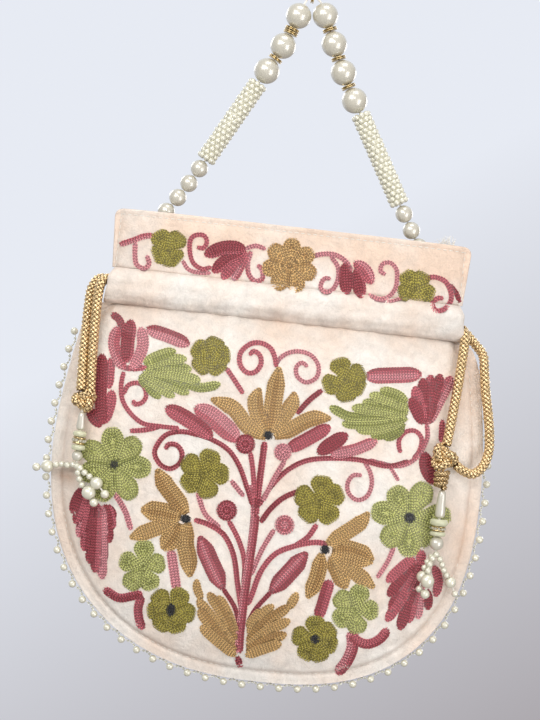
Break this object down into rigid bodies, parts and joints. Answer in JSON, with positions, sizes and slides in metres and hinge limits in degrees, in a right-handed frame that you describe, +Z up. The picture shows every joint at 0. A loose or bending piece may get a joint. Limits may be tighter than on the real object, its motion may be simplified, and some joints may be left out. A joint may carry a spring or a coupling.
{
  "type": "drawstring reticule",
  "caption": "Embroidered velvet drawstring reticule with a pearl bead handle, gold drawcords, pearl tassels and a pearl edging, hanging from its handle.",
  "frame": {"origin": "centre of the gold ring at the top of the handle, where the reticule hangs", "axes": "+Z up, +X to the right seen from the embroidered front, and the front faces -Y"},
  "size_m": [0.2281, 0.0393, 0.3515],
  "materials": {
    "velvet": "crushed velvet",
    "gold_cord": "braided lustrous cord",
    "pearl": "pearl",
    "seed_pearl": "pearl",
    "gold": "polished",
    "stone_ring": "set with small stones",
    "nylon": "clear thread"
  },
  "bodies": {
    "root": {"front_panel": "velvet", "back_panel": "velvet", "casing_front": "velvet", "casing_back": "velvet", "drawcord_run_left": "gold_cord", "drawcord_run_right": "gold_cord", "drawcord_left_front": "gold_cord", "drawcord_left_back": "gold_cord", "drawcord_right_front": "gold_cord", "drawcord_right_back": "gold_cord", "knot_left": "gold_cord", "knot_right": "gold_cord", "pearl_edging": "seed_pearl", "handle_thread": "nylon", "handle_pearl_1": "pearl", "handle_ring_1": "gold", "handle_pearl_2": "pearl", "handle_ring_2": "gold", "handle_pearl_3": "pearl", "handle_ring_3": "gold", "handle_pearl_4": "pearl", "handle_ring_4": "gold", "handle_pearl_5": "pearl", "handle_ring_5": "gold", "handle_pearl_6": "pearl", "handle_ring_6": "gold", "handle_pearl_7": "pearl", "handle_ring_7": "gold", "handle_sleeve_left": "seed_pearl", "handle_bead_left_1": "pearl", "handle_bead_left_2": "pearl", "handle_bead_left_3": "pearl", "handle_bead_left_4": "pearl", "tassel_drop_left": "pearl", "tassel_disc_upper_left": "pearl", "tassel_disc_lower_left": "pearl", "tassel_pearl_left": "pearl", "tassel_ring_left": "stone_ring", "tassel_strands_left": "seed_pearl", "handle_sleeve_right": "seed_pearl", "handle_bead_right_1": "pearl", "handle_bead_right_2": "pearl", "handle_bead_right_3": "pearl", "handle_bead_right_4": "pearl", "tassel_drop_right": "pearl", "tassel_disc_upper_right": "pearl", "tassel_disc_lower_right": "pearl", "tassel_pearl_right": "pearl", "tassel_ring_right": "stone_ring", "tassel_strands_right": "seed_pearl"}
  },
  "joints": []
}
